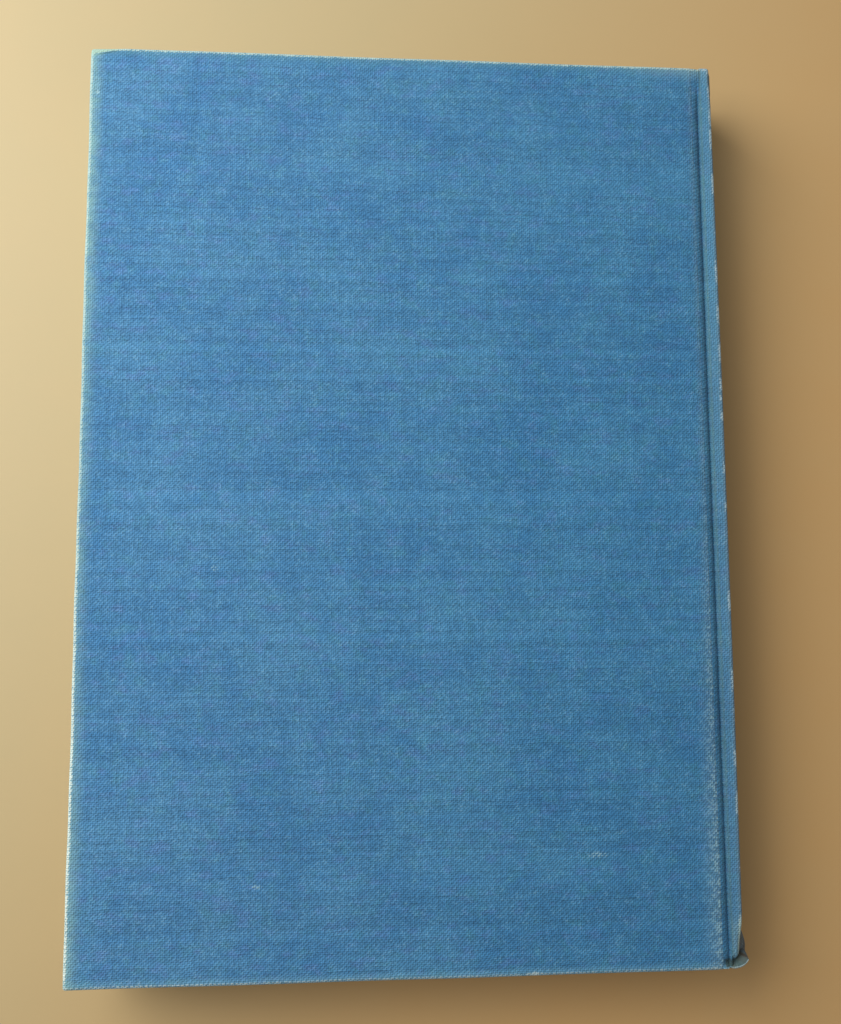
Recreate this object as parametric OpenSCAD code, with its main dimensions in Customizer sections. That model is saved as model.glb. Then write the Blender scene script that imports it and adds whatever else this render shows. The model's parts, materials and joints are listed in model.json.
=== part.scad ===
// Cloth-covered hardback book, lying on its front cover with the back cover up.
// The spine is towards +X, the head towards +Y, and the table is the plane Z = 0.
// The origin is under the middle of the closed book.

/* [Case] */
// Height of the case, from head to tail
case_height = 221; // [180:1:260]
// Width of the closed case, from the fore edge to the spine
case_width = 155; // [120:0.5:200]
// Thickness of the cover boards
board_thickness = 2; // [1.2:0.1:3]
// Rounding of the boards' edges
board_edge_radius = 0.3; // [0.1:0.05:0.5]
// Rounding of the cover's corners, seen from above
cover_corner_radius = 0.9; // [0.6:0.1:3]

/* [Cloth] */
// Thickness of the book cloth
cloth_thickness = 0.3; // [0.2:0.05:0.4]
// Width of the cloth turned in over the edges of the case
turn_in_width = 15; // [10:1:20]

/* [Spine and grooves] */
// Thickness of the spine strip
strip_thickness = 2.4; // [1:0.1:3]
// How far the shoulders of the spine lie below the faces of the covers
shoulder_drop = 0.3; // [0.3:0.05:0.8]
// Width of the pressed groove between cover and spine
groove_width = 1.7; // [1.5:0.1:4]
// Clear space between the spine's turned-in cloth and the back lining
hollow_gap = 0.1; // [0.05:0.05:0.2]

/* [Text block] */
// Thickness of the pressed pages
block_thickness = 15.2; // [8:0.2:40]
// Thickness of one folded section
section_thickness = 0.8; // [0.6:0.1:1.6]
// How far the covers stand out past the pages at the head and at the tail
head_square = 3; // [2:0.5:5]
// How far the covers stand out past the pages at the fore edge
fore_square = 3.5; // [2:0.5:6]
// Thickness of the endpapers
paper_thickness = 0.15; // [0.1:0.05:0.25]

/* [Back of the block] */
// Thickness of the back gauze and of the band tapes
gauze_thickness = 0.2; // [0.1:0.05:0.25]
// Width of the gauze glued down on each board
gauze_flange = 20; // [10:1:30]
// Distance from the turned-in cloth to the end of the gauze
gauze_margin = 2; // [1:0.5:10]
// Thickness of the back lining paper
lining_thickness = 0.15; // [0.1:0.05:0.2]
// Distance from the end of the pages to the end of the back lining
lining_margin = 0.5; // [0.5:0.5:5]
// Diameter of the bead of the head and tail bands
bead_diameter = 1.4; // [1:0.1:1.8]
// Height of the bands' tape on the back of the pages
band_tape_height = 11; // [6:0.5:12]
// Distance from the faces of the block to the ends of the bands
band_margin = 0.4; // [0.2:0.1:1]

/* [Hidden] */
$fn = 48;

// A cut runs this far past the surface that it opens.
over = 1;

// The layers from the pages outwards: flyleaf, pastedown, turned-in cloth, board, cloth.
cover_stack = 2 * paper_thickness + 2 * cloth_thickness + board_thickness;
book_thickness = block_thickness + 2 * cover_stack;
block_top = book_thickness - cover_stack;
block_bottom = cover_stack;
flyleaf_top = block_top + paper_thickness;
endpaper_top = block_top + 2 * paper_thickness;
board_inner = endpaper_top + cloth_thickness;

// From the fore edge of the case to its spine.
fore_x = -case_width / 2;
spine_x = case_width / 2;
strip_inner_x = spine_x - cloth_thickness - strip_thickness;
groove_spine_x = strip_inner_x - cloth_thickness;
groove_board_x = groove_spine_x - groove_width;
board_spine_x = groove_board_x - cloth_thickness;
hinge_x = (groove_board_x + groove_spine_x) / 2;
block_spine_x = strip_inner_x - cloth_thickness - hollow_gap - lining_thickness - gauze_thickness;
block_fore_x = fore_x + fore_square;

// Half heights, because head and tail mirror each other.
case_half = case_height / 2;
block_half = case_half - head_square;
turn_in_half = case_half - turn_in_width;
gauze_half = turn_in_half - gauze_margin;
lining_half = block_half - lining_margin;

// The groove is a round-bottomed channel that touches the layers under it.
groove_radius = groove_width / 2;
groove_z = board_inner + cloth_thickness + groove_radius;

// The sections are as many whole folds as fill the block.
section_count = round(block_thickness / section_thickness);
section_pitch = block_thickness / section_count;
fold_radius = 0.55 * section_pitch;

cloth_color = [0.29, 0.47, 0.62];
board_color = [0.62, 0.58, 0.50];
page_color = [0.90, 0.86, 0.76];
endpaper_color = [0.93, 0.91, 0.85];
gauze_color = [0.86, 0.84, 0.76];
lining_color = [0.74, 0.64, 0.48];
band_color = [0.90, 0.88, 0.80];

// A box between two corners.
module span(low, high) {
    translate(low) cube(high - low);
}

// A rectangle between two corners, with rounded corners of radius r.
module rounded_area(low, high, r) {
    translate([low[0] + r, low[1]]) square([high[0] - low[0] - 2 * r, high[1] - low[1]]);
    translate([low[0], low[1] + r]) square([high[0] - low[0], high[1] - low[1] - 2 * r]);
    for (x = [low[0] + r, high[0] - r]) {
        for (y = [low[1] + r, high[1] - r]) {
            translate([x, y]) circle(r);
        }
    }
}

// A section in X and Z, drawn along Y from y_low to y_high.
module along_y(y_low, y_high) {
    translate([0, y_high, 0]) rotate([90, 0, 0]) linear_extrude(height = y_high - y_low) children();
}

// A section in Y and Z, drawn along X from x_low to x_high.
module along_x(x_low, x_high) {
    translate([x_low, 0, 0]) rotate([90, 0, 90]) linear_extrude(height = x_high - x_low) children();
}

// A section in X and Z at both ends of the case, from y_low to y_high at the head and mirrored at the tail.
module at_both_ends(y_low, y_high) {
    along_y(y_low, y_high) children();
    along_y(-y_high, -y_low) children();
}

// What the back cover has, turned over for the front cover.
module front_side() {
    translate([0, 0, book_thickness]) mirror([0, 0, 1]) children();
}

// The back cover's covered board, shrunk by inset on every side: 0 for the cloth, its thickness for the board.
// Its edges are rounded, apart from the inner one beside the groove.
module cover_form(inset) {
    edge = board_edge_radius + cloth_thickness - inset;
    corner = cover_corner_radius - inset;
    low = [fore_x + inset, -case_half + inset, endpaper_top + inset];
    high = [groove_board_x - inset, case_half - inset, book_thickness - inset];
    intersection() {
        along_y(low[1], high[1]) {
            rounded_area([low[0], low[2]], [high[0], high[2]], edge);
            translate([high[0] - edge, low[2]]) square(edge);
        }
        along_x(low[0], high[0]) rounded_area([low[1], low[2]], [high[1], high[2]], edge);
        translate([0, 0, low[2]]) linear_extrude(height = high[2] - low[2])
            rounded_area([low[0], low[1]], [high[0] + corner, high[1]], corner);
    }
}

// One layer of cloth round the lower half of the groove, between x_low and x_high.
module groove_layer(x_low, x_high) {
    intersection() {
        difference() {
            translate([hinge_x, groove_z]) circle(groove_radius + cloth_thickness);
            translate([hinge_x, groove_z]) circle(groove_radius);
        }
        translate([x_low, board_inner]) square([x_high - x_low, groove_z - board_inner]);
    }
}

// The cloth and its turned-in layer pressed together under the groove, between x_low and x_high.
module groove_double_layer(x_low, x_high) {
    difference() {
        translate([x_low, endpaper_top]) square([x_high - x_low, groove_z - endpaper_top]);
        translate([hinge_x, groove_z]) circle(groove_radius);
    }
}

module cover_board() {
    cover_form(cloth_thickness);
}

// The cloth runs over the face, round three edges and onto the inner side, and down into the groove.
module cover_cloth() {
    difference() {
        cover_form(0);
        cover_form(cloth_thickness);
        span(
            [fore_x + turn_in_width, -turn_in_half, endpaper_top - over],
            [groove_board_x + over, turn_in_half, board_inner]
        );
        span(
            [board_spine_x, -case_half - over, endpaper_top - over],
            [groove_board_x + over, case_half + over, groove_z]
        );
    }
    along_y(-turn_in_half, turn_in_half) groove_layer(board_spine_x, hinge_x);
    at_both_ends(turn_in_half, case_half) groove_double_layer(board_spine_x, hinge_x);
}

// The glued-down half of the endpaper: it lies on the turned-in cloth, steps down onto the board
// inside it, rises over the gauze, and runs on under the groove.
module cover_pastedown() {
    window_low = [fore_x + turn_in_width, -turn_in_half];
    window_high = [board_spine_x, turn_in_half];
    gauze_low = [board_spine_x - gauze_flange, -gauze_half];
    wall = paper_thickness;
    gauze_face = board_inner - gauze_thickness;
    difference() {
        union() {
            span([block_fore_x, -block_half, flyleaf_top], [hinge_x, block_half, endpaper_top]);
            span([window_low[0], window_low[1], flyleaf_top], [window_high[0], window_high[1], board_inner]);
        }
        difference() {
            span(
                [window_low[0] + wall, window_low[1] + wall, flyleaf_top - over],
                [window_high[0] - wall, window_high[1] - wall, board_inner - wall]
            );
            span(
                [gauze_low[0] - wall, gauze_low[1] - wall, gauze_face - wall],
                [window_high[0], -gauze_low[1] + wall, board_inner]
            );
        }
        span(
            [gauze_low[0], gauze_low[1], gauze_face],
            [window_high[0] + over, -gauze_low[1], board_inner + over]
        );
    }
}

// The edge of the gauze, glued between board and pastedown, and its free strip under the groove.
module cover_gauze_flange() {
    span(
        [board_spine_x - gauze_flange, -gauze_half, board_inner - gauze_thickness],
        [board_spine_x, gauze_half, board_inner]
    );
    span([board_spine_x, -gauze_half, endpaper_top], [hinge_x, gauze_half, endpaper_top + gauze_thickness]);
}

// The free half of the endpaper, with the fold along the back of the block.
module flyleaf() {
    span([block_fore_x, -block_half, block_top], [block_spine_x, block_half, flyleaf_top]);
    span([hinge_x, -block_half, flyleaf_top], [block_spine_x, block_half, endpaper_top]);
}

// The folded and sewn sections, trimmed on three sides, with their round folds at the back.
module pages() {
    flat_x = block_spine_x - fold_radius;
    color(page_color) {
        span([block_fore_x, -block_half, block_bottom], [flat_x, block_half, block_top]);
        intersection() {
            span([flat_x - over, -block_half, block_bottom], [block_spine_x, block_half, block_top]);
            for (i = [0 : section_count - 1]) {
                translate([flat_x, block_half, block_bottom + (i + 0.5) * section_pitch])
                    rotate([90, 0, 0]) cylinder(h = 2 * block_half, r = fold_radius);
            }
        }
    }
}

// The gauze lies on the back of the block and bends over both of its edges up to the hinges.
module spine_gauze() {
    outer_x = block_spine_x + gauze_thickness;
    color(gauze_color) {
        span([block_spine_x, -gauze_half, block_bottom], [outer_x, gauze_half, block_top]);
        for (side = [0, 1]) {
            translate([0, 0, side * book_thickness]) mirror([0, 0, side]) difference() {
                span([hinge_x, -gauze_half, block_bottom - 2 * paper_thickness - gauze_thickness],
                    [outer_x, gauze_half, block_bottom]);
                span([hinge_x - over, -gauze_half - over, block_bottom - 2 * paper_thickness],
                    [block_spine_x, gauze_half + over, block_bottom + over]);
            }
        }
    }
}

module back_lining() {
    inner_x = block_spine_x + gauze_thickness;
    color(lining_color)
        span([inner_x, -lining_half, block_bottom], [inner_x + lining_thickness, lining_half, block_top]);
}

// A woven tape glued to the back of the block, with a round bead that covers the ends of the sections.
module band() {
    bead_radius = bead_diameter / 2;
    bead_y = block_half + bead_radius;
    tape_x = block_spine_x + gauze_thickness;
    low_z = block_bottom + band_margin;
    high_z = block_top - band_margin;
    color(band_color) {
        span([block_spine_x, block_half - band_tape_height, low_z], [tape_x, bead_y, high_z]);
        translate([tape_x - bead_radius, bead_y, low_z]) cylinder(h = high_z - low_z, r = bead_radius);
    }
}

// The section of the covered spine strip, shrunk by inset on every side.
module spine_area(inset) {
    rounded_area(
        [groove_spine_x + inset, shoulder_drop + inset],
        [spine_x - inset, book_thickness - shoulder_drop - inset],
        board_edge_radius + cloth_thickness - inset
    );
}

// The cloth's section on the spine away from head and tail: the strip's inner face is bare.
module spine_cloth_section() {
    difference() {
        spine_area(0);
        spine_area(cloth_thickness);
        translate([groove_spine_x - over, book_thickness - groove_z])
            square([over + cloth_thickness, 2 * groove_z - book_thickness]);
    }
    for (side = [0, 1]) {
        translate([0, side * book_thickness]) mirror([0, side]) groove_layer(hinge_x, strip_inner_x);
    }
}

// The same at head and tail, filled: both layers of the grooves, and the strip closed in on all sides.
module spine_end_section() {
    spine_area(0);
    for (side = [0, 1]) {
        translate([0, side * book_thickness]) mirror([0, side]) groove_double_layer(hinge_x, strip_inner_x);
    }
}

module spine_cloth() {
    color(cloth_color) {
        along_y(-turn_in_half, turn_in_half) spine_cloth_section();
        difference() {
            at_both_ends(turn_in_half, case_half) spine_end_section();
            strip();
        }
    }
}

module strip() {
    along_y(-case_half + cloth_thickness, case_half - cloth_thickness) spine_area(cloth_thickness);
}

module spine_strip() {
    color(board_color) strip();
}

module back_flyleaf() {
    color(endpaper_color) flyleaf();
}

module front_flyleaf() {
    color(endpaper_color) front_side() flyleaf();
}

module headband() {
    band();
}

module tailband() {
    mirror([0, 1, 0]) band();
}

module back_board() {
    color(board_color) cover_board();
}

module front_board() {
    color(board_color) front_side() cover_board();
}

module back_cloth() {
    color(cloth_color) cover_cloth();
}

module front_cloth() {
    color(cloth_color) front_side() cover_cloth();
}

module back_pastedown() {
    color(endpaper_color) cover_pastedown();
}

module front_pastedown() {
    color(endpaper_color) front_side() cover_pastedown();
}

module back_gauze_flange() {
    color(gauze_color) cover_gauze_flange();
}

module front_gauze_flange() {
    color(gauze_color) front_side() cover_gauze_flange();
}

pages();
back_flyleaf();
front_flyleaf();
spine_gauze();
back_lining();
headband();
tailband();
spine_strip();
spine_cloth();
back_board();
back_cloth();
back_pastedown();
back_gauze_flange();
front_board();
front_cloth();
front_pastedown();
front_gauze_flange();
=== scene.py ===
import json
import math

import bpy
import numpy as np
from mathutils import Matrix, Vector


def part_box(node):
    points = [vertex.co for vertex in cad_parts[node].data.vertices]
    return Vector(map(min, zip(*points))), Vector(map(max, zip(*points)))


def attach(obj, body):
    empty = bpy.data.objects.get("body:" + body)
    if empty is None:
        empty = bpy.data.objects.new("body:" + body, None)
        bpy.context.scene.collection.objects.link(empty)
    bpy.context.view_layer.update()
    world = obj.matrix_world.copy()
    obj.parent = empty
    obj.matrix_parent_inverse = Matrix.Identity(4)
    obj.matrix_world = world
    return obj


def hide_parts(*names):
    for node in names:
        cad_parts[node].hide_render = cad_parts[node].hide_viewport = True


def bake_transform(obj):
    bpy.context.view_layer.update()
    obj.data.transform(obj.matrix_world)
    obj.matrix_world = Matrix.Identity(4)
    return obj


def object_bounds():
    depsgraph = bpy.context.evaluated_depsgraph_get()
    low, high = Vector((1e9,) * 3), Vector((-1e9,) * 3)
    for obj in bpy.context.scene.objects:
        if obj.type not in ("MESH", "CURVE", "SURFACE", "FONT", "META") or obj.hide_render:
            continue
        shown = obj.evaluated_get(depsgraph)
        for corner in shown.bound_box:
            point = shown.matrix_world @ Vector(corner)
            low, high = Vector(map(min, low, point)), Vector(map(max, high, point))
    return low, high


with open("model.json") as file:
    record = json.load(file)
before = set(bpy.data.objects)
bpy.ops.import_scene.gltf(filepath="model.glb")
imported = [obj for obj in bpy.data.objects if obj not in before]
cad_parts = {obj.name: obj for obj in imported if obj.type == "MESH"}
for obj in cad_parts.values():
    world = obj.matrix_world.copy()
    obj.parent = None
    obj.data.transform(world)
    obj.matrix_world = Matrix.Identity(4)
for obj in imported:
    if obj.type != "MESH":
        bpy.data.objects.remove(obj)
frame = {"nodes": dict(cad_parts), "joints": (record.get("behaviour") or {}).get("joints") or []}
cad_low, cad_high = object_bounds()
scene = bpy.context.scene

# Camera. A small camera held flat above the closed book, a little left of its middle and towards
# its tail, so that the head end looks narrower than the tail end.
camera_data = bpy.data.cameras.new("camera")
camera_data.sensor_width = 36
camera_data.lens = 36.085
camera_data.clip_start = 0.01
camera = bpy.data.objects.new("camera", camera_data)
camera.location = (-0.015875, -0.030510, 0.263179)
camera.rotation_euler = [math.radians(angle) for angle in (6.3087, -4.3122, -0.3592)]
scene.collection.objects.link(camera)
scene.camera = camera


# Table and light. The book lies on a plain pale table top under a soft light from the upper left,
# so that its shadow falls beside the spine and, narrower, below the tail.
def feed(tree, socket, value):
    """Links value to the socket if it is a socket too, and otherwise sets it."""
    if isinstance(value, bpy.types.NodeSocket):
        tree.links.new(value, socket)
    else:
        socket.default_value = value


def node(tree, kind, inputs=(), **settings):
    """A new node of that kind with its settings, and its inputs fed by name or number."""
    made = tree.nodes.new(kind)
    for key, value in settings.items():
        setattr(made, key, value)
    for key, value in dict(inputs).items():
        feed(tree, made.inputs[key], value)
    return made


def calc(tree, operation, *values):
    return node(tree, "ShaderNodeMath", enumerate(values), operation=operation).outputs[0]


def grain(tree, place, scale, detail=2.0, roughness=0.5):
    """Soft noise from 0 to 1 with its middle at 0.5."""
    inputs = {"Vector": place, "Scale": scale, "Detail": detail, "Roughness": roughness}
    return node(tree, "ShaderNodeTexNoise", inputs).outputs["Fac"]


def stretched(tree, place, scale):
    """The place with each axis multiplied by its own scale."""
    return node(tree, "ShaderNodeVectorMath", {0: place, 1: scale}, operation="MULTIPLY").outputs[0]


def fade(tree, value, start, end, low=0.0, high=1.0):
    """Goes smoothly from low, where value is start, to high, where value is end."""
    inputs = {"Value": value, "From Min": start, "From Max": end, "To Min": low, "To Max": high}
    return node(tree, "ShaderNodeMapRange", inputs, interpolation_type="SMOOTHSTEP").outputs["Result"]


def tint(tree, share, first, second, blend_type="MIX"):
    """The first colour where share is 0 and the second where it is 1."""
    colours = [c if isinstance(c, bpy.types.NodeSocket) else (*c, 1.0) for c in (first, second)]
    inputs = {0: share, 6: colours[0], 7: colours[1]}
    return node(tree, "ShaderNodeMix", inputs, data_type="RGBA", blend_type=blend_type).outputs[2]


def new_material(name, roughness):
    """A new material with its node tree and its shader."""
    material = bpy.data.materials.new(name)
    material.use_nodes = True
    shader = next(n for n in material.node_tree.nodes if n.type == "BSDF_PRINCIPLED")
    shader.inputs["Roughness"].default_value = roughness
    return material, material.node_tree, shader


def relief(tree, shader, height, depth):
    """Gives the surface a fine relief: height from 0 to 1 stands for 0 to depth metres."""
    inputs = {"Height": height, "Distance": depth, "Strength": 1.0}
    feed(tree, shader.inputs["Normal"], node(tree, "ShaderNodeBump", inputs).outputs["Normal"])


scene.view_settings.view_transform = "Standard"
world = bpy.data.worlds.new("room")
world.use_nodes = True
world.node_tree.nodes["Background"].inputs["Color"].default_value = (1.0, 0.97, 0.92, 1.0)
world.node_tree.nodes["Background"].inputs["Strength"].default_value = 0.34
scene.world = world

light_data = bpy.data.lights.new("window_light", "AREA")
light_data.size = 0.45
light_data.energy = 4.25
light = bpy.data.objects.new("window_light", light_data)
light.location = (-0.345, 0.20, 0.355)
light.rotation_mode = "QUATERNION"
light.rotation_quaternion = light.location.to_track_quat("Z", "Y")
light.visible_camera = False
scene.collection.objects.link(light)

table_mesh = bpy.data.meshes.new("table")
table_reach = 3.0
table_corners = [(x * table_reach, y * table_reach, 0) for x, y in ((-1, -1), (1, -1), (1, 1), (-1, 1))]
table_mesh.from_pydata(table_corners, [], [(0, 1, 2, 3)])
table = bpy.data.objects.new("table", table_mesh)
scene.collection.objects.link(table)
table_material, tree, shader = new_material("pale_table", 0.6)
place = node(tree, "ShaderNodeTexCoord").outputs["Object"]
table_place = node(tree, "ShaderNodeSeparateXYZ", {0: place}).outputs
across_table = calc(tree, "MULTIPLY_ADD", table_place[1], -0.5, table_place[0])
# Painted light: the table's colour goes warmer and more orange toward the lower right, standing in for the
# window's glare on the left and warm shade at the lower right.
veneer_and_painted_light = tint(tree, fade(tree, across_table, -0.11, 0.12), (0.420, 0.338, 0.176), (0.52, 0.312, 0.120))
figure = calc(tree, "MULTIPLY", grain(tree, place, 60, 4), 0.3)
feed(tree, shader.inputs["Base Color"], tint(tree, figure, veneer_and_painted_light, (0.49, 0.35, 0.17)))
table_mesh.materials.append(table_material)


# Pages. The text block is a stack of folded sections, sewn through their folds, glued along the back
# and trimmed on the other three sides. The leaves' edges show as fine lines, yellowed by age.
MM = 0.001


def box_mm(name):
    """Lowest and highest corner of a CAD node, in millimetres."""
    return [np.array(corner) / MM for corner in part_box(name)]


def geometry_tree(name, sizes):
    """A node tree with those named number inputs: the tree, its input node and its output socket."""
    tree = bpy.data.node_groups.new(name, "GeometryNodeTree")
    for size_name, value in sizes.items():
        kind = "NodeSocketInt" if isinstance(value, int) else "NodeSocketFloat"
        tree.interface.new_socket(size_name, in_out="INPUT", socket_type=kind)
    tree.interface.new_socket("Geometry", in_out="OUTPUT", socket_type="NodeSocketGeometry")
    return tree, node(tree, "NodeGroupInput"), node(tree, "NodeGroupOutput").inputs[0]


def grown(name, tree, sizes):
    """The plain mesh object that the node tree makes with those sizes."""
    seed = bpy.data.objects.new(name + "_seed", bpy.data.meshes.new(name + "_seed"))
    scene.collection.objects.link(seed)
    modifier = seed.modifiers.new("build", "NODES")
    modifier.node_group = tree
    for item in tree.interface.items_tree:
        if item.in_out == "INPUT":
            modifier[item.identifier] = sizes[item.name]
    seen = seed.evaluated_get(bpy.context.evaluated_depsgraph_get())
    mesh = bpy.data.meshes.new_from_object(seen)
    mesh.name = name
    bpy.data.objects.remove(seed)
    piece = bpy.data.objects.new(name, mesh)
    scene.collection.objects.link(piece)
    return piece


def finished(tree, geometry, material, output):
    """Ends a tree: real geometry instead of instances, with its material on it."""
    real = node(tree, "GeometryNodeRealizeInstances", {0: geometry}).outputs[0]
    inputs = {"Geometry": real, "Material": material}
    feed(tree, output, node(tree, "GeometryNodeSetMaterial", inputs).outputs[0])


page_material, tree, shader = new_material("page_edges", 0.85)
place = node(tree, "ShaderNodeTexCoord").outputs["Object"]
leaf_lines = grain(tree, stretched(tree, place, (8, 8, 9000)), 1.0, 1.0, 0.6)
section_lines = grain(tree, stretched(tree, place, (14, 14, 900)), 1.0, 2.0, 0.5)
stains = grain(tree, place, 45, 4, 0.6)
paper = tint(tree, leaf_lines, (0.47, 0.39, 0.26), (0.80, 0.73, 0.58))
paper = tint(tree, fade(tree, section_lines, 0.56, 0.70, 0.0, 0.55), paper, (0.42, 0.34, 0.22))
paper = tint(tree, fade(tree, stains, 0.45, 0.75, 0.0, 0.5), paper, (0.50, 0.40, 0.25))
feed(tree, shader.inputs["Base Color"], paper)
relief(tree, shader, leaf_lines, 0.00006)

pages_low, pages_high = box_mm("pages")
fold_radius = 0.44
leaf_sizes = {
    "Leaves": 152, "Sections": 19, "Pitch": 0.1 * MM, "Leaf thickness": 0.094 * MM,
    "Fold radius": fold_radius * MM, "Width": float(pages_high[0] - pages_low[0] - fold_radius) * MM,
    "Height": float(pages_high[1] - pages_low[1]) * MM, "Fore edge": float(pages_low[0]) * MM,
    "Bottom": float(pages_low[2]) * MM, "Unevenness": 0.035 * MM, "Seed": 5,
}
tree, given, output = geometry_tree("stacked leaves", leaf_sizes)
size = given.outputs
leaf = node(tree, "GeometryNodeMeshCube", {"Size": node(tree, "ShaderNodeCombineXYZ", {
    "X": size["Width"], "Y": size["Height"], "Z": size["Leaf thickness"]}).outputs[0]}).outputs["Mesh"]
stack = node(tree, "GeometryNodeMeshLine", {
    "Count": size["Leaves"],
    "Start Location": node(tree, "ShaderNodeCombineXYZ", {
        "X": calc(tree, "ADD", size["Fore edge"], calc(tree, "MULTIPLY", size["Width"], 0.5)),
        "Z": calc(tree, "ADD", size["Bottom"], calc(tree, "MULTIPLY", size["Pitch"], 0.5))}).outputs[0],
    "Offset": node(tree, "ShaderNodeCombineXYZ", {"Z": size["Pitch"]}).outputs[0]}, mode="OFFSET").outputs[0]
spread = node(tree, "ShaderNodeCombineXYZ", {0: size["Unevenness"], 1: size["Unevenness"]}).outputs[0]
backwards = node(tree, "ShaderNodeVectorMath", {0: spread, "Scale": -1.0}, operation="SCALE").outputs[0]
shift = node(tree, "FunctionNodeRandomValue",
             {0: backwards, 1: spread, "Seed": size["Seed"]}, data_type="FLOAT_VECTOR").outputs[0]
stack = node(tree, "GeometryNodeSetPosition", {"Geometry": stack, "Offset": shift}).outputs[0]
leaves = node(tree, "GeometryNodeInstanceOnPoints", {"Points": stack, "Instance": leaf}).outputs[0]
fold = node(tree, "GeometryNodeMeshCylinder", {
    "Vertices": 16, "Radius": size["Fold radius"], "Depth": size["Height"]}).outputs["Mesh"]
fold_pitch = calc(tree, "DIVIDE", calc(tree, "MULTIPLY", size["Pitch"], size["Leaves"]), size["Sections"])
fold_line = node(tree, "GeometryNodeMeshLine", {
    "Count": size["Sections"],
    "Start Location": node(tree, "ShaderNodeCombineXYZ", {
        "X": calc(tree, "ADD", size["Fore edge"], size["Width"]),
        "Z": calc(tree, "ADD", size["Bottom"], calc(tree, "MULTIPLY", fold_pitch, 0.5))}).outputs[0],
    "Offset": node(tree, "ShaderNodeCombineXYZ", {"Z": fold_pitch}).outputs[0]}, mode="OFFSET").outputs[0]
folds = node(tree, "GeometryNodeInstanceOnPoints", {
    "Points": fold_line, "Instance": fold, "Rotation": (math.pi / 2, 0, 0)}).outputs[0]
joined = node(tree, "GeometryNodeJoinGeometry")
for part in (leaves, folds):
    tree.links.new(part, joined.inputs[0])
finished(tree, joined.outputs[0], page_material, output)
pages = grown("page_block", tree, leaf_sizes)
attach(pages, "text_block")
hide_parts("pages")


# Flyleaves. The free halves of the two endpapers, smooth heavier paper, pasted to the block by a
# narrow edge along the back, where their other halves turn over onto the covers.
BOOK_TOP = float(cad_high[2]) / MM
SHARP_ANGLE = math.radians(50)


def turned_over(points):
    """The same place on the front cover as these points have on the back cover."""
    return points * (1, 1, -1) + (0, 0, BOOK_TOP)


def closed_sheet(name, outer, inner, faces, uvs, rest, gaps, material, mirrored=False):
    """A sheet with two skins and closed edges, in millimetres. The faces number both skins alike."""
    count = len(outer)
    points = np.concatenate([outer, inner])
    if mirrored:
        points, rest = turned_over(points), turned_over(rest)
    corner_uv = {}
    for face, face_uv in zip(faces, uvs):
        corner_uv.update(zip(face, face_uv))
    edges = {(face[i], face[(i + 1) % len(face)]) for face in faces for i in range(len(face))}
    every = [list(face) for face in faces]
    every_uv = [list(face_uv) for face_uv in uvs]
    for face, face_uv in zip(faces, uvs):
        every.append([i + count for i in face][::-1])
        every_uv.append(list(face_uv)[::-1])
    for a, b in sorted(edges):
        if (b, a) not in edges:
            every.append([b, a, a + count, b + count])
            every_uv.append([corner_uv[b], corner_uv[a], corner_uv[a], corner_uv[b]])
    if mirrored:
        every = [face[::-1] for face in every]
        every_uv = [face_uv[::-1] for face_uv in every_uv]
    mesh = bpy.data.meshes.new(name)
    mesh.from_pydata((points * MM).tolist(), [], every)
    layer = mesh.uv_layers.new(name="weave")
    layer.data.foreach_set("uv", np.array([c for face_uv in every_uv for c in face_uv], np.float32).ravel())
    attribute = mesh.attributes.new("rest", "FLOAT_VECTOR", "POINT")
    attribute.data.foreach_set("vector", np.concatenate([rest, rest]).astype(np.float32).ravel())
    attribute = mesh.attributes.new("edge_gap", "FLOAT", "POINT")
    attribute.data.foreach_set("value", np.concatenate([gaps, gaps]).astype(np.float32))
    return smooth_piece(name, mesh, material)


def smooth_piece(name, mesh, material):
    """The object of a mesh, shaded smooth but for its sharp edges."""
    mesh.shade_smooth()
    mesh.set_sharp_from_angle(angle=SHARP_ANGLE)
    mesh.materials.append(material)
    piece = bpy.data.objects.new(name, mesh)
    scene.collection.objects.link(piece)
    return piece


def graded(low, high, start, end, step):
    """Places from low to high: at the distances start from low, end from high, and evenly between."""
    middle_low, middle_high = low + start[-1], high - end[-1]
    middle = np.linspace(middle_low, middle_high, max(1, round((middle_high - middle_low) / step)) + 1)
    return np.concatenate([low + np.array(start[:-1]), middle, (high - np.array(end[:-1]))[::-1]])


def grid_faces(columns, rows):
    """Faces of a grid whose point number is column * rows + row, facing up when both axes grow."""
    return [(i * rows + j, (i + 1) * rows + j, (i + 1) * rows + j + 1, i * rows + j + 1)
            for i in range(columns - 1) for j in range(rows - 1)]


def paper_sheet(name, xs, ys, top, bottom, material, mirrored):
    """A sheet of paper over the grid xs, ys, with heights from the functions top and bottom."""
    x, y = [a.ravel() for a in np.meshgrid(xs, ys, indexing="ij")]
    faces = grid_faces(len(xs), len(ys))
    uvs = [[(x[i], y[i]) for i in face] for face in faces]
    outer = np.stack([x, y, top(x, y)], 1)
    inner = np.stack([x, y, bottom(x, y)], 1)
    gaps = np.minimum(np.minimum(x - xs[0], xs[-1] - x), np.minimum(y - ys[0], ys[-1] - y))
    return closed_sheet(name, outer, inner, faces, uvs, outer.copy(), gaps, material, mirrored)


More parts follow.
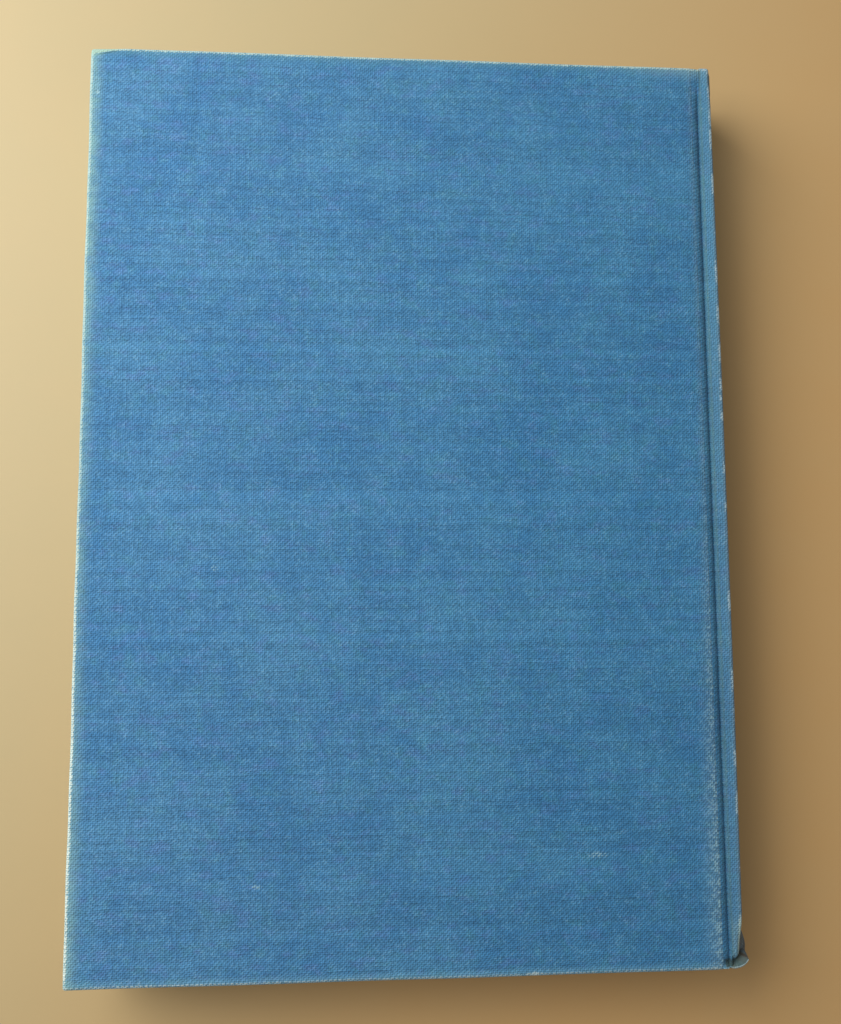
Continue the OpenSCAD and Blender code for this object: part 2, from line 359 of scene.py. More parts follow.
endpaper_material, tree, shader = new_material("endpaper", 0.75)
place = node(tree, "ShaderNodeAttribute", attribute_name="rest").outputs["Vector"]
gap = node(tree, "ShaderNodeAttribute", attribute_name="edge_gap").outputs["Fac"]
fibres = grain(tree, place, 2.5, 6, 0.7)
clouds = grain(tree, place, 0.05, 3)
paper = tint(tree, fibres, (0.74, 0.70, 0.58), (0.86, 0.83, 0.74))
paper = tint(tree, fade(tree, clouds, 0.35, 0.75, 0.0, 0.35), paper, (0.72, 0.65, 0.50))
edge_tone = calc(tree, "ADD", gap, calc(tree, "MULTIPLY", grain(tree, place, 0.12, 3), 14.0))
paper = tint(tree, fade(tree, edge_tone, 15.0, 5.5, 0.0, 0.65), paper, (0.58, 0.47, 0.30))
spots = fade(tree, grain(tree, place, 0.45, 2), 0.74, 0.82, 0.0, 0.35)
feed(tree, shader.inputs["Base Color"], tint(tree, spots, paper, (0.45, 0.30, 0.15)))
relief(tree, shader, fibres, 0.00002)

flyleaf_low, flyleaf_high = box_mm("back_flyleaf")
HINGE_X = frame["joints"][0]["pos_m"][0] / MM
PAPER = 0.15
flyleaf_xs = np.concatenate([
    graded(flyleaf_low[0], HINGE_X - 0.05, [0, 0.5], [0, 0.5], 4), [HINGE_X + 0.05, flyleaf_high[0]]])
flyleaf_ys = graded(flyleaf_low[1], flyleaf_high[1], [0, 0.5], [0, 0.5], 4)


def flyleaf_top(x, y):
    """Height of the leaf's outer side, which steps up past the hinge, where the fold is double."""
    return flyleaf_low[2] + np.where(x > HINGE_X, 2 * PAPER, PAPER)


def flyleaf_bottom(x, y):
    """Height of the side that lies on the pages."""
    return flyleaf_low[2] + 0 * x


for side in ("back", "front"):
    flyleaf = paper_sheet(side + "_endpaper_flyleaf", flyleaf_xs, flyleaf_ys, flyleaf_top, flyleaf_bottom,
                          endpaper_material, side == "front")
    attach(flyleaf, "text_block")
    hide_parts(side + "_flyleaf")


# Gauze and back lining. Open starched cotton is glued over the sewn folds and reaches onto both
# boards, and a strip of brown paper covers it on the back of the block.
gauze_material, tree, shader = new_material("mull", 0.9)
place = node(tree, "ShaderNodeTexCoord").outputs["Object"]
mesh_waves = []
for turn in ((0, 0, 0), (0, 0, math.pi / 2)):
    turned = node(tree, "ShaderNodeMapping", {"Vector": place, "Rotation": turn}).outputs[0]
    wave = node(tree, "ShaderNodeTexWave", {"Vector": turned, "Scale": 320.0, "Distortion": 0.6})
    mesh_waves.append(wave.outputs["Fac"])
threads = calc(tree, "MAXIMUM", *mesh_waves)
feed(tree, shader.inputs["Base Color"], tint(tree, threads, (0.42, 0.34, 0.22), (0.84, 0.80, 0.68)))
relief(tree, shader, threads, 0.00015)
for name in ("spine_gauze", "back_gauze_flange", "front_gauze_flange"):
    frame["nodes"][name].data.materials.clear()
    frame["nodes"][name].data.materials.append(gauze_material)

lining_material, tree, shader = new_material("brown_paper", 0.8)
place = node(tree, "ShaderNodeTexCoord").outputs["Object"]
fibres = grain(tree, stretched(tree, place, (900, 300, 900)), 1.0, 5, 0.7)
feed(tree, shader.inputs["Base Color"], tint(tree, fibres, (0.32, 0.22, 0.12), (0.52, 0.39, 0.24)))
relief(tree, shader, fibres, 0.00003)
frame["nodes"]["back_lining"].data.materials.clear()
frame["nodes"]["back_lining"].data.materials.append(lining_material)


# Head and tail bands. Each is a woven cotton tape glued to the back of the block, with a bead of
# thread wound side by side round a core, which covers the ends of the folds.
band_material, tree, shader = new_material("band_cotton", 0.9)
place = node(tree, "ShaderNodeTexCoord").outputs["Object"]
twist = grain(tree, stretched(tree, place, (2600, 2600, 5200)), 1.0, 3)
band_tone = tint(tree, twist, (0.50, 0.45, 0.34), (0.82, 0.78, 0.66))
dust = fade(tree, grain(tree, place, 500, 2), 0.5, 0.75, 0.0, 0.4)
feed(tree, shader.inputs["Base Color"], tint(tree, dust, band_tone, (0.40, 0.33, 0.22)))
relief(tree, shader, twist, 0.00005)

for node_name, piece_name, way in (("headband", "headband_wound", 1), ("tailband", "tailband_wound", -1)):
    band_low, band_high = box_mm(node_name)
    bead_radius = 0.7
    bead_x = float(band_high[0] - bead_radius)
    bead_y = (band_high[1] - bead_radius) if way > 0 else (band_low[1] + bead_radius)
    tape_far_y = band_low[1] if way > 0 else band_high[1]
    band_sizes = {
        "Bead radius": 0.52 * MM, "Thread radius": 0.17 * MM, "Bead X": bead_x * MM,
        "Bead Y": float(bead_y) * MM, "Low": float(band_low[2]) * MM, "High": float(band_high[2]) * MM,
        "Turns": 40, "Slant": 0.16 * way, "Tape X": float(band_high[0] - 0.1) * MM,
        "Tape length": float(abs(bead_y - tape_far_y)) * MM, "Tape thickness": 0.19 * MM,
        "Tape Y": float((bead_y + tape_far_y) / 2) * MM, "Seed": 11,
    }
    tree, given, output = geometry_tree(piece_name, band_sizes)
    size = given.outputs
    low_end, high_end = [node(tree, "ShaderNodeCombineXYZ", {
        "X": size["Bead X"], "Y": size["Bead Y"], "Z": size[end]}).outputs[0] for end in ("Low", "High")]
    length = calc(tree, "SUBTRACT", size["High"], size["Low"])
    middle = calc(tree, "MULTIPLY", calc(tree, "ADD", size["High"], size["Low"]), 0.5)
    core = node(tree, "GeometryNodeMeshCylinder", {
        "Vertices": 20, "Radius": size["Bead radius"], "Depth": length}).outputs["Mesh"]
    core = node(tree, "GeometryNodeTransform", {
        "Geometry": core, "Translation": node(tree, "ShaderNodeCombineXYZ", {
            "X": size["Bead X"], "Y": size["Bead Y"], "Z": middle}).outputs[0]}).outputs[0]
    tape = node(tree, "GeometryNodeMeshCube", {"Size": node(tree, "ShaderNodeCombineXYZ", {
        "X": size["Tape thickness"], "Y": size["Tape length"], "Z": length}).outputs[0]}).outputs["Mesh"]
    tape = node(tree, "GeometryNodeTransform", {
        "Geometry": tape, "Translation": node(tree, "ShaderNodeCombineXYZ", {
            "X": size["Tape X"], "Y": size["Tape Y"], "Z": middle}).outputs[0]}).outputs[0]
    ring, strand = [
        node(tree, "GeometryNodeCurvePrimitiveCircle", {"Resolution": sides, "Radius": size[name]}).outputs[0]
        for sides, name in ((20, "Bead radius"), (6, "Thread radius"))]
    winding = node(tree, "GeometryNodeCurveToMesh", {"Curve": ring, "Profile Curve": strand}).outputs[0]
    axis = node(tree, "GeometryNodeMeshLine", {
        "Count": size["Turns"], "Start Location": low_end, "Offset": high_end},
        mode="END_POINTS", count_mode="TOTAL").outputs[0]
    wobble = node(tree, "FunctionNodeRandomValue", {2: -0.05, 3: 0.05, "Seed": size["Seed"]}).outputs[1]
    slant = calc(tree, "ADD", size["Slant"], wobble)
    lean = node(tree, "ShaderNodeCombineXYZ", {0: slant, 1: wobble}).outputs[0]
    windings = node(tree, "GeometryNodeInstanceOnPoints", {
        "Points": axis, "Instance": winding, "Rotation": lean}).outputs[0]
    joined = node(tree, "GeometryNodeJoinGeometry")
    for part in (core, tape, windings):
        tree.links.new(part, joined.inputs[0])
    finished(tree, joined.outputs[0], band_material, output)
    band = grown(piece_name, tree, band_sizes)
    band.data.shade_smooth()
    band.data.set_sharp_from_angle(angle=SHARP_ANGLE)
    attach(band, "text_block")
    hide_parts(node_name)


# Boards and spine strip. Grey pulp board, cut square and rolled hard, gives the covers and the flat
# spine their stiffness. The back board's corner at head and fore edge has been knocked down.
CLOTH = 0.3
TURN_IN = 15.0
SPINE_LOW, SPINE_HIGH = box_mm("spine_cloth")
SPINE_LOW[0] = box_mm("spine_strip")[0][0] - CLOTH
GROOVE_BOARD_X = box_mm("back_board")[1][0] + CLOTH
cover_low, cover_high = box_mm("back_cloth")
CASE_HALF = float(cover_high[1])
CASE_LOW = np.array([cover_low[0], -CASE_HALF, cover_low[2]])
CASE_HIGH = np.array([GROOVE_BOARD_X, CASE_HALF, BOOK_TOP])
ROUND = 0.6
ROUND_STOPS = [0, *[ROUND * (1 - math.tan(math.radians(turn))) for turn in (30, 15)], ROUND, 0.78]
BLUNT_LENGTH, BLUNT_DEPTH = 8.5, 2.0


def bell(value, middle, width):
    """1 at the middle and 0 from width away, smooth."""
    near = np.clip(1 - np.abs(value - middle) / width, 0, 1)
    return near * near * (3 - 2 * near)


def ramp(value, start, end):
    """0 at start and 1 at end, smooth."""
    share = np.clip((value - start) / (end - start), 0, 1)
    return share * share * (3 - 2 * share)


def worn_back(p):
    """How the back cover's form departs from a true one: slow waves, and the knocked-down corner."""
    x, y, z = p.T
    top = ramp(z, 18.4, 20.4)
    waves = 0.04 * np.sin(x * 0.11 + 1.3) * np.sin(y * 0.083 + 0.4) + 0.03 * np.sin(x * 0.05 - y * 0.13)
    along, depth = x - CASE_LOW[0], CASE_HALF - y
    wedge = BLUNT_DEPTH * np.clip(1 - along / BLUNT_LENGTH, 0, 1)
    inside = np.clip((wedge - depth) / np.maximum(wedge, 0.3), 0, 1) * ramp(along, BLUNT_LENGTH, 6.0)
    crease = bell(depth, wedge + 0.2, 0.55) * ramp(along, BLUNT_LENGTH, 5.5)
    drop = 0.75 * inside * np.clip(1 - along / 9.5, 0, 1) + 0.22 * crease
    edge_wander = 0.06 * np.sin(y * 0.09 + 0.5) + 0.04 * np.sin(y * 0.31)
    moved = p.copy()
    moved[:, 0] += edge_wander * ramp(x, CASE_LOW[0] + 3, CASE_LOW[0])
    moved[:, 1] += 0.05 * np.sin(x * 0.12) * (ramp(y, 108, 110.5) - ramp(y, -108, -110.5))
    slope = 0.25 * ramp(x, GROOVE_BOARD_X - 2.2, GROOVE_BOARD_X) * ramp(y, 110, 104)
    moved[:, 2] += top * (waves * ramp(GROOVE_BOARD_X - x, 0, 6) - drop - slope)
    return moved


def worn_front(p):
    """The front cover lies flat on the table, with only a slow wave along its fore edge."""
    moved = p.copy()
    moved[:, 0] += 0.06 * np.sin(p[:, 1] * 0.07 + 2) * ramp(p[:, 0], CASE_LOW[0] + 3, CASE_LOW[0])
    return moved


def worn_spine(p):
    """The spine bulges a little. At the tail its edge is crushed in, with a lip that flares out below it."""
    x, y, z = p.T
    outer = ramp(x, SPINE_LOW[0] + 1.0, SPINE_HIGH[0])
    across = np.clip((x - SPINE_LOW[0]) / (SPINE_HIGH[0] - SPINE_LOW[0]), 0, 1)
    above = ramp(z, 15.0, 19.5)
    from_tail, from_head = y + CASE_HALF, CASE_HALF - y
    crushed = ramp(from_tail, 12.0, 4.0)
    below = ramp(z, BOOK_TOP - 0.5, BOOK_TOP - 6.0)
    lip = ramp(from_tail, 1.4, 0.5) * above
    bulge = 0.28 * np.clip(1 - (y / 105) ** 2, 0, 1)
    flare = 2.35 * crushed * below + 1.3 * ramp(from_head, 13.0, 4.0) * ramp(z, BOOK_TOP, BOOK_TOP - 4.0)
    pushed_in = 0.8 * crushed * above * (1 - below) + 0.3 * ramp(from_head, 11.0, 2.0) * above
    moved = p.copy()
    moved[:, 0] += outer * (bulge + flare - pushed_in * (1 - lip)) + 1.3 * lip * across ** 3
    moved[:, 1] += 1.5 * across ** 4 * ramp(from_tail, 6.0, 0.4) + 0.3 * above * ramp(from_head, 1.5, 0.3)
    recess = bell(from_tail, 1.7, 1.25) * ramp(across, 0.0, 0.15)
    moved[:, 2] -= above * (1.5 * recess + 0.45 * outer * crushed * (1 - lip))
    return moved


def wrapped_box(low, high, radius, axes, skip, inner_from="fore"):
    """A box with rounded edges: flat and rounded points, normals, faces, unrolled places, edge gaps.

    skip says which faces stay open. The unrolled places go on round the edges from the upper face, and
    reach the lower one from its nearest outer edge, or from the spine.
    """
    flat, index, faces, uvs = [], {}, [], []

    def number(i, j, k):
        key = (i, j, k)
        if key not in index:
            index[key] = len(flat)
            flat.append((axes[0][i], axes[1][j], axes[2][k]))
        return index[key]

    def unrolled(axis, end, place):
        x, y, z = place
        down = high[2] - z
        if axis == 2 and end:
            return (x, y)
        if axis == 0:
            return (high[0] + down, y) if end else (low[0] - down, y)
        if axis == 1:
            return (x, high[1] + down) if end else (x, low[1] - down)
        if inner_from == "spine":
            return (high[0] + down + high[0] - x, y)
        if min(y - low[1], high[1] - y) < x - low[0]:
            return (x, 2 * high[1] + down - y) if y > 0 else (x, 2 * low[1] - down - y)
        return (2 * low[0] - down - x, y)

    for axis in range(3):
        first, second = (axis + 1) % 3, (axis + 2) % 3
        for end in (0, 1):
            for i in range(len(axes[first]) - 1):
                for j in range(len(axes[second]) - 1):
                    corners = []
                    for di, dj in ((0, 0), (1, 0), (1, 1), (0, 1)):
                        key = [0, 0, 0]
                        key[axis] = (len(axes[axis]) - 1) * end
                        key[first], key[second] = i + di, j + dj
                        corners.append(tuple(key))
                    places = [tuple(axes[a][c[a]] for a in range(3)) for c in corners]
                    if skip(axis, end, np.mean(places, 0)):
                        continue
                    if not end:
                        corners, places = corners[::-1], places[::-1]
                    faces.append(tuple(number(*c) for c in corners))
                    uvs.append([unrolled(axis, end, q) for q in places])
    flat = np.array(flat)
    core = np.clip(flat, np.array(low) + radius, np.array(high) - radius)
    out = flat - core
    normals = out / np.linalg.norm(out, axis=1)[:, None]
    walls = np.minimum(flat - low, high - flat)
    walls[:, 0] = flat[:, 0] - low[0] if inner_from == "fore" else high[0] - flat[:, 0]
    walls = np.sort(walls, axis=1)
    return flat, core + radius * normals, normals, faces, uvs, walls[:, 1]


def keep_all(axis, end, middle):
    """Leaves no face open."""
    return False


board_material, tree, shader = new_material("greyboard", 0.9)
place = node(tree, "ShaderNodeTexCoord").outputs["Object"]
pulp = grain(tree, stretched(tree, place, (1800, 1800, 5200)), 1.0, 4, 0.7)
flecks = fade(tree, grain(tree, place, 2400, 2), 0.66, 0.72)
board_tone = tint(tree, pulp, (0.26, 0.24, 0.19), (0.46, 0.42, 0.34))
feed(tree, shader.inputs["Base Color"], tint(tree, flecks, board_tone, (0.60, 0.56, 0.48)))
relief(tree, shader, pulp, 0.00008)

FINE_STOPS = [1.05, 1.4, 1.8, 2.3, 3.0, 4.0, 5.2, 6.6, 8.2, 10.0, 12.5, TURN_IN]
cover_axes = [
    graded(CASE_LOW[0], CASE_HIGH[0], ROUND_STOPS + FINE_STOPS, ROUND_STOPS + [1.2, 2.0, 3.2], 3.0),
    graded(CASE_LOW[1], CASE_HIGH[1], ROUND_STOPS + FINE_STOPS, ROUND_STOPS + FINE_STOPS, 3.0),
    graded(CASE_LOW[2], CASE_HIGH[2], ROUND_STOPS[:4], ROUND_STOPS[:4], 0.5),
]
spine_axes = [
    graded(SPINE_LOW[0], SPINE_HIGH[0], ROUND_STOPS[:4], ROUND_STOPS[:4], 0.25),
    graded(SPINE_LOW[1], SPINE_HIGH[1], ROUND_STOPS + FINE_STOPS, ROUND_STOPS + FINE_STOPS, 3.0),
    graded(SPINE_LOW[2], SPINE_HIGH[2], ROUND_STOPS + [1.3, 2.0, 3.0], ROUND_STOPS + [1.3, 2.0, 3.0], 1.5),
]


def core_board(name, low, high, axes, worn, mirrored):
    """A board that fills the cloth wrapped round it: the same form, smaller by the cloth's thickness."""
    flat, _, normals, faces, uvs, gaps = wrapped_box(low, high, ROUND, axes, keep_all)
    inner = np.clip(flat, np.array(low) + ROUND, np.array(high) - ROUND) + (ROUND - CLOTH - 0.02) * normals
    points = worn(flat) - flat + inner
    mesh = bpy.data.meshes.new(name)
    if mirrored:
        points, faces = turned_over(points), [face[::-1] for face in faces]
    mesh.from_pydata((points * MM).tolist(), [], faces)
    piece = smooth_piece(name, mesh, board_material)
    return piece


for side, worn in (("back", worn_back), ("front", worn_front)):
    board = core_board(side + "_greyboard", CASE_LOW, CASE_HIGH, cover_axes, worn, side == "front")
    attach(board, side + "_cover")
    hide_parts(side + "_board")
strip = core_board("spine_greyboard", SPINE_LOW, SPINE_HIGH, spine_axes, worn_spine, False)
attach(strip, "text_block")
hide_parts("spine_strip")


# Book cloth. One piece of plain-woven blue cotton, about 20 threads a centimetre, glued over the
# boards and the strip, pressed down into the two grooves and turned in round the edges. It is worn
# pale along the edges and the ridges beside the grooves, most at the tail of the spine.
THREAD_PITCH = (0.50, 0.48)


def add(first, second):
    return calc(tree, "ADD", first, second)


def times(first, second):
    return calc(tree, "MULTIPLY", first, second)


def less(first, second):
    return calc(tree, "SUBTRACT", first, second)


def darkened(tone, by):
    """The colour multiplied by another."""
    return tint(tree, 1.0, tone, by, "MULTIPLY")


cloth_material, tree, shader = new_material("book_cloth", 0.88)
shader.inputs["Sheen Weight"].default_value = 0.12
shader.inputs["Sheen Roughness"].default_value = 0.5
shader.inputs["Specular IOR Level"].default_value = 0.25
place = node(tree, "ShaderNodeAttribute", attribute_name="rest").outputs["Vector"]
gap = node(tree, "ShaderNodeAttribute", attribute_name="edge_gap").outputs["Fac"]
woven = node(tree, "ShaderNodeUVMap", uv_map="weave").outputs["UV"]
split = node(tree, "ShaderNodeSeparateXYZ", {0: place}).outputs
x, y, z = split[0], split[1], split[2]

# Threads: warp and weft cross in slightly wandering lines, and each has its own tone.
wander = node(tree, "ShaderNodeTexNoise", {"Vector": woven, "Scale": 0.12, "Detail": 2.0}).outputs["Color"]
wander = node(tree, "ShaderNodeVectorMath", {0: wander, 1: (0.5, 0.5, 0.5)}, operation="SUBTRACT").outputs[0]
wander = stretched(tree, wander, (2.4, 2.4, 0))
threads = stretched(tree, woven, (1 / THREAD_PITCH[0], 1 / THREAD_PITCH[1], 0))
threads = node(tree, "ShaderNodeVectorMath", {0: threads, 1: wander}, operation="ADD").outputs[0]
crossing = node(tree, "ShaderNodeVectorMath", {0: threads}, operation="FLOOR").outputs[0]
cell = node(tree, "ShaderNodeSeparateXYZ", {0: crossing}).outputs
crossing_tone = node(tree, "ShaderNodeTexWhiteNoise", {"Vector": crossing}, noise_dimensions="2D").outputs[0]
warp_tone = node(tree, "ShaderNodeTexWhiteNoise", {"W": cell[0]}, noise_dimensions="1D").outputs[0]
weft_tone = node(tree, "ShaderNodeTexWhiteNoise", {"W": add(cell[1], 0.37)}, noise_dimensions="1D").outputs[0]
turn = node(tree, "ShaderNodeSeparateXYZ", {0: stretched(tree, threads, (math.pi, math.pi, 0))}).outputs
across_weft = calc(tree, "MULTIPLY_ADD", weft_tone, 1.5, turn[0])
across_warp = calc(tree, "MULTIPLY_ADD", warp_tone, 0.9, turn[1])
rising = calc(tree, "SINE", less(across_weft, across_warp))
falling = calc(tree, "SINE", add(across_weft, across_warp))
weft_rib = calc(tree, "COSINE", times(turn[1], 2.0))
warp_rib = calc(tree, "COSINE", times(turn[0], 2.0))
weave_height = calc(tree, "MULTIPLY_ADD", rising, 0.20, 0.5)
for wave, share in ((falling, 0.10), (weft_rib, 0.17), (warp_rib, 0.14)):
    weave_height = calc(tree, "MULTIPLY_ADD", wave, share, weave_height)

weft_slub = grain(tree, stretched(tree, woven, (0.10, 1.9, 0)), 1.0, 3, 0.6)
warp_slub = grain(tree, stretched(tree, woven, (1.9, 0.10, 0)), 1.0, 3, 0.6)

# The weave's height also goes into the colour: painted shade in the hollows between the crossings and painted
# highlight on the crowns, beside the threads' own tones.
tone = calc(tree, "MULTIPLY_ADD", less(crossing_tone, 0.5), 0.27, 0.91)
for part, share in ((warp_tone, 0.08), (weft_tone, 0.16), (weft_slub, 0.23), (warp_slub, 0.12),
                    (weave_height, 0.44)):
    tone = add(tone, times(less(part, 0.5), share))

# Dye: faded in soft patches, greener or more violet here and there.
patches = grain(tree, place, 0.045, 4, 0.55)
fine_patches = grain(tree, stretched(tree, place, (0.22, 0.30, 0.30)), 1.0, 4, 0.6)
faded = add(times(patches, 0.6), times(fine_patches, 0.4))
blue = tint(tree, fade(tree, faded, 0.36, 0.64), (0.049, 0.184, 0.375), (0.074, 0.232, 0.415))
green_shift = fade(tree, grain(tree, place, 0.30, 3, 0.6), 0.50, 0.70, 0.0, 0.35)
blue = tint(tree, green_shift, blue, (0.066, 0.235, 0.330))
violet_patches = grain(tree, stretched(tree, place, (0.22, 0.36, 0.3)), 1.0, 3, 0.6)
blue = tint(tree, fade(tree, violet_patches, 0.52, 0.70, 0.0, 0.45), blue, (0.092, 0.195, 0.440))
# Painted shade: the cloth goes darker and less red toward the spine side, away from the light.
blue = tint(tree, fade(tree, x, -70.0, 70.0), blue, darkened(blue, (0.71, 0.92, 0.935)))
blue = node(tree, "ShaderNodeVectorMath", {0: blue, "Scale": tone}, operation="SCALE").outputs[0]

# Wear: rubbed edges, the ridge beside the groove, and the lip at the tail of the spine.
speckle = add(times(less(crossing_tone, 0.5), 0.55), times(less(weave_height, 0.5), 1.15))
patchy = grain(tree, place, 0.55, 3, 0.6)
on_back = fade(tree, z, 15.0, 18.0)
tailward = fade(tree, y, 45.0, -100.0)
dashes = grain(tree, stretched(tree, place, (0.30, 0.17, 0.30)), 1.0, 2, 0.5)
on_spine = fade(tree, x, SPINE_LOW[0] - 0.1, SPINE_LOW[0] + 0.1)
edge_wear = times(fade(tree, gap, 1.25, 0.36), add(0.70, times(patchy, 0.45)))
edge_wear = times(edge_wear, fade(tree, y, -107.0, -109.0, 1.0, 0.66))
spine_dashes = fade(tree, dashes, 0.50, 0.60, 0.25, 1.0)
off_head = times(times(on_spine, fade(tree, y, 109.6, 108.4)), fade(tree, y, -100.0, -97.5))
edge_wear = times(edge_wear, less(1.0, times(off_head, less(1.0, spine_dashes))))
ridge_gap = less(GROOVE_BOARD_X, x)
ridge_reach = add(2.4, times(tailward, 3.8))
ridge = times(fade(tree, ridge_gap, ridge_reach, 0.0), fade(tree, ridge_gap, -0.1, 0.2))
ridge_rub = times(add(0.45, patchy), add(0.75, times(crossing_tone, 0.5)))
ridge_wear = times(times(ridge, add(0.20, times(tailward, 0.12))), ridge_rub)
spine_tail = times(times(fade(tree, y, -97.5, -101.0), on_back),
                   fade(tree, x, SPINE_LOW[0] + 0.1, SPINE_LOW[0] + 0.5))
tail_lip = times(times(fade(tree, y, -109.75, -110.2), on_back),
                 fade(tree, x, SPINE_LOW[0] - 0.2, SPINE_LOW[0] + 0.2))
rubbed = fade(tree, grain(tree, place, 0.11, 4, 0.6), 0.52, 0.80, 0.0, 0.16)
wear = add(add(edge_wear, ridge_wear), add(times(spine_tail, 0.36), rubbed))
tail_recess = times(times(fade(tree, y, -108.0, -108.7), fade(tree, y, -110.1, -109.8)),
                    fade(tree, x, GROOVE_BOARD_X, GROOVE_BOARD_X + 0.8))
wear = times(add(wear, times(tail_lip, 0.45)), less(1.0, tail_recess))

# The knocked-down corner of the back cover, with the crease behind it.
along, depth = less(x, CASE_LOW[0]), less(CASE_HALF, y)
wedge = times(calc(tree, "MAXIMUM", less(1.0, times(along, 1 / BLUNT_LENGTH)), 0.0), BLUNT_DEPTH)
wedge_mask = times(fade(tree, less(depth, wedge), 0.12, -0.15), times(on_back, fade(tree, along, 9.0, 7.0)))
# Where the crease behind the corner runs, to be painted dark as its shadow.
crease_shadow_mask = times(fade(tree, calc(tree, "ABSOLUTE", less(less(depth, wedge), 0.3)), 0.38, 0.05),
                    times(on_back, fade(tree, along, 12.0, 5.0)))
wear = add(wear, times(wedge_mask, 1.2))

# Small scuffs and rubbed places on the back cover: middle, size and strength of each.
for spot_x, spot_y, spot_width, spot_height, spot_wear in (
    (-45.7, -17.0, 2.0, 1.5, 0.55), (-35.0, -89.2, 2.2, 1.0, 0.6), (43.6, -83.9, 4.6, 1.4, 0.60),
    (28.0, -110.0, 2.5, 1.0, 0.6), (-75.5, 98.9, 0.65, 0.65, 1.5), (-30.5, -29.4, 9.0, 7.0, 0.22),
    (5.2, 43.3, 12.0, 9.0, 0.20), (62.0, -98.0, 6.0, 8.0, 0.25),
):
    spot_middle = (spot_x, spot_y, BOOK_TOP)
    offset = node(tree, "ShaderNodeVectorMath", {0: place, 1: spot_middle}, operation="SUBTRACT").outputs[0]
    offset = stretched(tree, offset, (1 / spot_width, 1 / spot_height, 0.5))
    reach = node(tree, "ShaderNodeVectorMath", {0: offset}, operation="LENGTH").outputs["Value"]
    spot = times(fade(tree, reach, 1.0, 0.2), add(0.4, patchy))
    wear = add(wear, times(spot, spot_wear))

# How pale each thread is rubbed, and the greenish white that shows there.
pale = fade(tree, add(wear, times(speckle, calc(tree, "MINIMUM", add(wear, 0.15), 1.0))), 0.32, 1.0)
worn_crowns = times(fade(tree, crossing_tone, 0.72, 1.0), fade(tree, weave_height, 0.45, 0.85))
pale = calc(tree, "MAXIMUM", pale, times(worn_crowns, fade(tree, fine_patches, 0.30, 0.65, 0.16, 0.52)))
ridge_dots = times(fade(tree, crossing_tone, 0.45, 0.90), times(ridge, ridge))
ridge_dots = times(ridge_dots, add(0.30, times(tailward, 0.60)))
pale = calc(tree, "MAXIMUM", pale, times(ridge_dots, fade(tree, patchy, 0.25, 0.60, 0.45, 1.0)))
mint = tint(tree, patchy, (0.26, 0.42, 0.43), (0.43, 0.57, 0.54))
mint = tint(tree, fade(tree, gap, 1.0, 2.2), mint, (0.24, 0.42, 0.50))
low_fore_edge = times(fade(tree, along, 1.6, 0.6), fade(tree, y, 20.0, -70.0, 0.0, 0.8))
mint = tint(tree, fade(tree, y, -108.6, -109.6, 0.0, 0.55), mint, (0.32, 0.38, 0.42))
low_tail_edge = times(fade(tree, x, -20.0, -70.0, 0.0, 0.4), fade(tree, y, -108.8, -109.6))
mint = tint(tree, calc(tree, "MAXIMUM", low_fore_edge, low_tail_edge), mint, (0.66, 0.76, 0.70))
mint = tint(tree, times(on_spine, less(1.0, spine_tail)), mint, (0.34, 0.48, 0.55))
mint = tint(tree, times(wedge_mask, 0.9), mint, (0.29, 0.45, 0.37))

# Painted shadow in the crease behind the knocked-down corner. Then haze near the edges, the ridge and the
# spine, where the nap is rubbed but the dye still holds.
blue = tint(tree, times(crease_shadow_mask, 0.85), blue, (0.02, 0.07, 0.07))
fore_haze = times(fade(tree, along, 4.2, 0.3), fade(tree, patchy, 0.30, 0.65, 0.20, 0.42))
fore_haze = times(fore_haze, add(fade(tree, y, 20.0, 70.0, 1.0, 1.7), fade(tree, y, -50.0, -95.0, 0.0, 0.4)))
blue = tint(tree, times(fade(tree, depth, 3.2, 0.8), 0.4), blue, (0.055, 0.180, 0.260))
head_haze = times(fade(tree, depth, 4.5, 0.4), fade(tree, x, 50.0, 72.0))
blue = tint(tree, times(head_haze, 0.26), blue, (0.30, 0.46, 0.46))
rim_haze = times(fade(tree, gap, 2.4, 0.3), fade(tree, y, -90.0, -105.0, 0.12, 0.24))
blue = tint(tree, add(fore_haze, rim_haze), blue, (0.23, 0.42, 0.40))
# The ridge is rubbed, and it is also made redder and greyer as painted shade colour where it slopes down into
# the groove.
blue = tint(tree, times(ridge, add(0.12, times(tailward, 0.09))), blue, (0.24, 0.36, 0.41))
blue = tint(tree, times(spine_tail, 0.28), blue, (0.20, 0.33, 0.34))
spine_blue = tint(tree, fade(tree, y, 5.0, 60.0), (0.12, 0.250, 0.355), (0.12, 0.300, 0.430))
blue = tint(tree, times(on_spine, fade(tree, y, -40.0, 50.0, 0.26, 0.40)), blue, spine_blue)
spine_rim = times(fade(tree, x, SPINE_HIGH[0] - 1.2, SPINE_HIGH[0] - 0.2), fade(tree, z, 19.8, 20.4))
blue = tint(tree, times(spine_rim, 0.45), blue, (0.13, 0.17, 0.20))
cloth_tone = tint(tree, pale, blue, mint)

